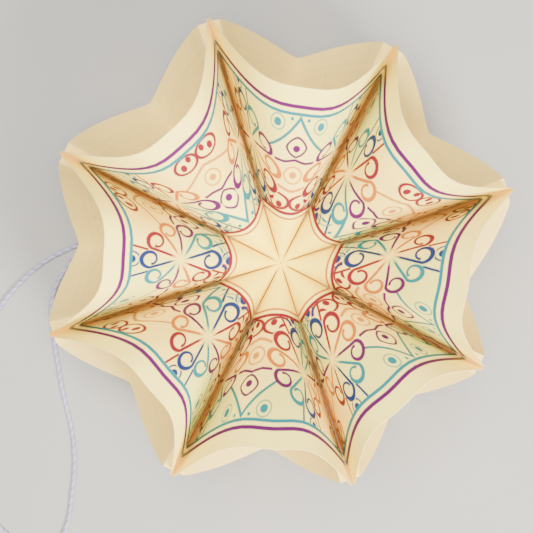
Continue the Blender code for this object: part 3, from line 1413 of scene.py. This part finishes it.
@dataclass
class GlueLine:
    """The thin line of dried glue between two neighbouring creases, with a wavy upper edge."""

    plan: StarPlan
    number: int
    thickness: float = 0.1 * MM
    bottom: float = -0.5 * MM
    top: float = 4.0 * MM
    wave: float = 0.9 * MM
    short_waves: float = 23.0
    long_waves: float = 9.0
    wave_shift: float = 2.1  # from one line to the next
    start: float = 18 * MM
    end: float = 82 * MM
    steps: int = 48

    def build(self, finishes: Finishes) -> bpy.types.Object:
        """Makes the line.

        Args:
            finishes: The star's materials.

        Returns:
            The piece.
        """
        shape = bmesh.new()
        bmesh.ops.create_cube(shape, size=1)
        long_edges = [
            edge for edge in shape.edges if abs(edge.verts[0].co.x - edge.verts[1].co.x) > 0.5
        ]
        bmesh.ops.subdivide_edges(shape, edges=long_edges, cuts=self.steps, use_grid_fill=True)
        for vert in shape.verts:
            along = vert.co.x + 0.5
            vert.co.x = self.start + (self.end - self.start) * along
            vert.co.y *= self.thickness
            short = math.sin(along * self.short_waves + self.number * self.wave_shift)
            lift = 0.5 + 0.5 * short * math.cos(along * self.long_waves + self.number)
            top = self.top - self.wave * lift
            vert.co.z = self.plan.point_height + (top if vert.co.z > 0 else self.bottom)
        azimuth = (self.number + 0.5) * FULL_TURN / self.plan.cones + self.plan.creases[self.number].turn
        turn = Matrix.Rotation(math.radians(azimuth), 3, "Z")
        bmesh.ops.rotate(shape, cent=(0, 0, 0), matrix=turn, verts=shape.verts)
        reach = self.plan.creases[self.number].length
        for vert in shape.verts:
            vert.co.xy += Vector(self.plan.lean) * (1 - vert.co.xy.length / reach)
        name = f"glue_line_{self.number + 1}"
        piece = add_object(name, to_mesh(name, shape), finishes.glue)
        place_piece(piece, "dried_glue", f"side_glue_{self.number + 1}")
        return piece


# --------------------------------------------------------------------------------------------
# The cord
# --------------------------------------------------------------------------------------------


def smooth_route(points: list[Vector], step: float) -> list[Vector]:
    """Points a step apart on one smooth curve through a route.

    Args:
        points: The route.
        step: The wanted distance between points.

    Returns:
        The points on the curve.
    """
    ends = [2 * points[0] - points[1], *points, 2 * points[-1] - points[-2]]
    fine = []
    for before, start, end, after in zip(ends, ends[1:], ends[2:], ends[3:]):
        leave, arrive = (end - before) / 2, (after - start) / 2
        cuts = max(int((end - start).length / step * 4), 4)
        for i in range(cuts):
            t = i / cuts
            fine.append(
                start * (2 * t**3 - 3 * t**2 + 1)
                + leave * (t**3 - 2 * t**2 + t)
                + end * (3 * t**2 - 2 * t**3)
                + arrive * (t**3 - t**2)
            )
    fine.append(points[-1])
    spaced, left = [fine[0]], step
    for before, after in zip(fine, fine[1:]):
        stretch = (after - before).length
        place = left
        while place <= stretch:
            spaced.append(before.lerp(after, place / stretch))
            place += step
        left = place - stretch
    spaced.append(fine[-1])
    return spaced


def route_length(points: list[Vector]) -> float:
    """Length along a run of points."""
    return sum((after - before).length for before, after in zip(points, points[1:]))


@dataclass
class TwistedYarn:
    """Makes cord of three plies that wind round each other."""

    diameter: float = 1.8 * MM
    plies: int = 3
    lay_length: float = 3.6 * MM  # along the cord for one whole turn of a ply
    ply_radius: float = 0.47 * MM
    step: float = 0.3 * MM
    ring_detail: int = 2

    def strands(self, route: list[Vector]) -> list[list[Vector]]:
        """The plies' centre lines along a route.

        Args:
            route: Evenly spaced points of the cord's own centre line.

        Returns:
            One list of points for each ply.
        """
        offset = self.diameter / 2 - self.ply_radius
        side = Vector((0, 0, 1))
        lines: list[list[Vector]] = [[] for ply in range(self.plies)]
        travelled = 0.0
        for i, point in enumerate(route):
            ahead = (route[min(i + 1, len(route) - 1)] - route[max(i - 1, 0)]).normalized()
            side = (side - ahead * side.dot(ahead)).normalized()
            across = ahead.cross(side)
            for ply, line in enumerate(lines):
                turn = 2 * math.pi * (travelled / self.lay_length + ply / self.plies)
                line.append(point + (side * math.cos(turn) + across * math.sin(turn)) * offset)
            if i + 1 < len(route):
                travelled += (route[i + 1] - point).length
        return lines

    def mesh(self, name: str, route: list[Vector]) -> bpy.types.Mesh:
        """The plies as one mesh.

        Args:
            name: The mesh's name.
            route: Evenly spaced points of the cord's centre line.

        Returns:
            The mesh.
        """
        shape = bmesh.new()
        for number, line in enumerate(self.strands(route)):
            # Each ply gets a painted shade, from dark to light.
            ply = self.ply_mesh(f"{name}_ply_{number}", line, number / (self.plies - 1))
            shape.from_mesh(ply)
            bpy.data.meshes.remove(ply)
        mesh = to_mesh(name, shape)
        mesh.shade_smooth()
        return mesh

    def ply_mesh(self, name: str, line: list[Vector], shade: float) -> bpy.types.Mesh:
        """One ply as a tube that carries its painted shade.

        Args:
            name: The mesh's name.
            line: The ply's centre line.
            shade: How light the ply is, 0 to 1, as painted shade for the twist's stripes.

        Returns:
            The mesh.
        """
        curve = bpy.data.curves.new(name, "CURVE")
        curve.dimensions = "3D"
        curve.bevel_depth = self.ply_radius
        curve.bevel_resolution = self.ring_detail
        curve.use_fill_caps = True
        spline = curve.splines.new("POLY")
        spline.points.add(len(line) - 1)
        for target, point in zip(spline.points, line):
            target.co = (*point, 1)
        drawn = bpy.data.objects.new(name, curve)
        mesh = bpy.data.meshes.new_from_object(drawn)
        layer = mesh.attributes.new("ply", "FLOAT", "POINT")
        layer.data.foreach_set("value", [shade] * len(mesh.vertices))
        bpy.data.objects.remove(drawn, do_unlink=True)
        bpy.data.curves.remove(curve)
        return mesh


@dataclass
class HangingLoop:
    """The cord's loop and the stopper knot that holds both its ends inside a cone."""

    hole: CordHole
    yarn: TwistedYarn = field(default_factory=TwistedYarn)
    knot_above_seam: float = 5.9 * MM
    knot_radius: float = 2.0 * MM
    knot_points: int = 90
    knot_height: float = 1.3
    path_every: int = 4  # one of this many route points is picked out
    route_mm: tuple[tuple[float, float, float], ...] = (
        (-60.0, -1.2, 16.2),
        (-60.0, -1.2, 12.8),
        (-60.4, -1.2, 9.6),
        (-61.9, -1.2, 6.4),
        (-64.6, -1.2, 3.6),
        (-68.5, -1.3, 1.7),
        (-73.5, -1.5, 0.95),
        (-78.0, -1.8, 0.9),
        (-82.5, -2.7, 0.9),
        (-89.6, -6.2, 0.9),
        (-97.5, -11.4, 0.9),
        (-105.2, -18.7, 0.9),
        (-112.7, -28.4, 0.9),
        (-119.4, -40.5, 0.9),
        (-124.6, -55.0, 0.9),
        (-127.4, -71.0, 0.9),
        (-127.0, -87.0, 0.9),
        (-123.2, -103.0, 0.9),
        (-115.6, -118.0, 0.9),
        (-104.6, -129.3, 0.9),
        (-92.6, -134.2, 0.9),
        (-83.2, -131.2, 0.9),
        (-79.2, -122.4, 0.9),
        (-78.3, -110.5, 0.9),
        (-78.2, -97.0, 0.9),
        (-80.4, -83.0, 0.9),
        (-85.8, -65.5, 0.9),
        (-90.6, -46.5, 0.9),
        (-93.1, -33.0, 0.9),
        (-92.4, -22.8, 0.9),
        (-88.6, -13.8, 0.9),
        (-83.2, -7.0, 0.9),
        (-78.0, -4.3, 0.9),
        (-73.5, -3.6, 0.95),
        (-68.5, -3.5, 1.7),
        (-64.6, -3.5, 3.6),
        (-61.9, -3.5, 6.4),
        (-60.4, -3.5, 9.6),
        (-60.0, -3.5, 12.8),
        (-60.0, -3.5, 16.2),
    )

    def route(self) -> list[Vector]:
        """The loop's centre line."""
        return smooth_route([Vector(point) * MM for point in self.route_mm], self.yarn.step)

    def knot_route(self) -> list[Vector]:
        """The centre line of the overhand knot, tied in on itself.

        Returns:
            Evenly spaced points.
        """
        centre = self.hole.place() + Vector((0, 0, self.knot_above_seam))
        points = []
        for i in range(self.knot_points):
            t = 2 * math.pi * i / (self.knot_points - 1)
            loop = Vector((
                math.sin(t) + 2 * math.sin(2 * t),
                math.cos(t) - 2 * math.cos(2 * t),
                -math.sin(3 * t) * self.knot_height,
            ))
            points.append(centre + loop * (self.knot_radius / 3))
        return smooth_route(points, self.yarn.step)

    def build(self, finishes: Finishes) -> list[bpy.types.Object]:
        """Makes the loop and its knot.

        Args:
            finishes: The star's materials.

        Returns:
            The pieces.
        """
        route = self.route()
        loop = add_object("twisted_cord_loop", self.yarn.mesh("twisted_cord_loop", route), finishes.cord)
        place_piece(loop, "cord", "hanging_cord")
        knot = add_object(
            "overhand_knot", self.yarn.mesh("overhand_knot", self.knot_route()), finishes.cord
        )
        place_piece(knot, "cord", "stopper_knot")
        length = route_length(route)
        [tuple(point) for point in route[:: self.path_every]] + [tuple(route[-1])]
        log.info("cord length %.1f mm", length / MM)
        return [loop, knot]


# --------------------------------------------------------------------------------------------
# The studio
# --------------------------------------------------------------------------------------------


@dataclass(frozen=True)
class SoftLight:
    """A square soft light that faces the star."""

    name: str
    place: tuple[float, float, float]
    size: float
    power: float
    colour: Colour


@dataclass
class Studio:
    """The floor, the soft lights and the camera."""

    floor_size: float = 6.0
    camera_place: tuple[float, float, float] = (-6.56 * MM, 8.17 * MM, 502.5 * MM)
    camera_aim: tuple[float, float, float] = (-3.63 * MM, -4.55 * MM, 42.5 * MM)
    camera_roll: float = 4.78
    camera_lens: float = 79.4972  # millimetres
    world_light: float = 0.6
    lights: tuple[SoftLight, ...] = (
        SoftLight("Key light", (0.55, -0.65, 0.85), 0.5, 48.0, (1.0, 0.96, 0.86)),
        SoftLight("Overhead fill", (-0.1, 0.1, 1.2), 0.8, 42.0, (1.0, 0.98, 0.92)),
    )

    def add_floor(self) -> None:
        """Makes the table top."""
        shape = bmesh.new()
        bmesh.ops.create_grid(shape, x_segments=4, y_segments=4, size=self.floor_size / 2)
        floor = add_object(
            "table_top", to_mesh("table_top", shape), FloorFinish("Pale table top", "", 0.6).make()
        )

    def add_lights(self) -> None:
        """Adds the soft lights and the even light all round."""
        for light in self.lights:
            lamp = bpy.data.lights.new(light.name, "AREA")
            lamp.shape = "SQUARE"
            lamp.size = light.size
            lamp.energy = light.power
            lamp.color = light.colour
            holder = bpy.data.objects.new(light.name, lamp)
            bpy.context.scene.collection.objects.link(holder)
            holder.location = light.place
            holder.rotation_euler = (-Vector(light.place)).to_track_quat("-Z", "Y").to_euler()
        world = bpy.context.scene.world or bpy.data.worlds.new("Studio")
        bpy.context.scene.world = world
        world.use_nodes = True
        sky = world.node_tree.nodes["Background"]
        sky.inputs["Color"].default_value = (1.0, 0.985, 0.96, 1)
        sky.inputs["Strength"].default_value = self.world_light

    def add_camera(self) -> None:
        """Adds the camera, turned so that its upper edge follows the roll."""
        place, aim = Vector(self.camera_place), Vector(self.camera_aim)
        back = (place - aim).normalized()
        roll = math.radians(self.camera_roll)
        right = Vector((-math.sin(roll), math.cos(roll), 0)).cross(back).normalized()
        up = back.cross(right)
        data = bpy.data.cameras.new("Camera")
        data.sensor_width = SENSOR_WIDTH
        data.lens = self.camera_lens
        camera = bpy.data.objects.new("Camera", data)
        bpy.context.scene.collection.objects.link(camera)
        turn = Matrix((right, up, back)).transposed().to_4x4()
        camera.matrix_world = Matrix.Translation(place) @ turn
        bpy.context.scene.camera = camera

    def build(self) -> None:
        """Sets up the whole studio."""
        self.add_camera()
        self.add_floor()
        self.add_lights()
        log.info("studio ready")


@dataclass
class SnowflakeStar:
    """The whole star."""

    plan: StarPlan = field(default_factory=StarPlan)

    def build(self, finishes: Finishes) -> None:
        """Makes every piece: the cord first, then the paper, tape and glue.

        Args:
            finishes: The star's materials.
        """
        cones = [PaperCone(self.plan, number) for number in range(self.plan.cones)]
        hole = CordHole(cones[self.plan.cord_cone])
        HangingLoop(hole).build(finishes)
        for cone in cones:
            cone.build(finishes, hole if cone.number == self.plan.cord_cone else None)
            SeamTape(cone).build(finishes)
            GlueLine(self.plan, cone.number).build(finishes)


def main() -> None:
    """Builds the studio and the star, in order."""
    Studio().build()
    SnowflakeStar().build(Finishes.make())


if __name__ == "__main__":
    main()
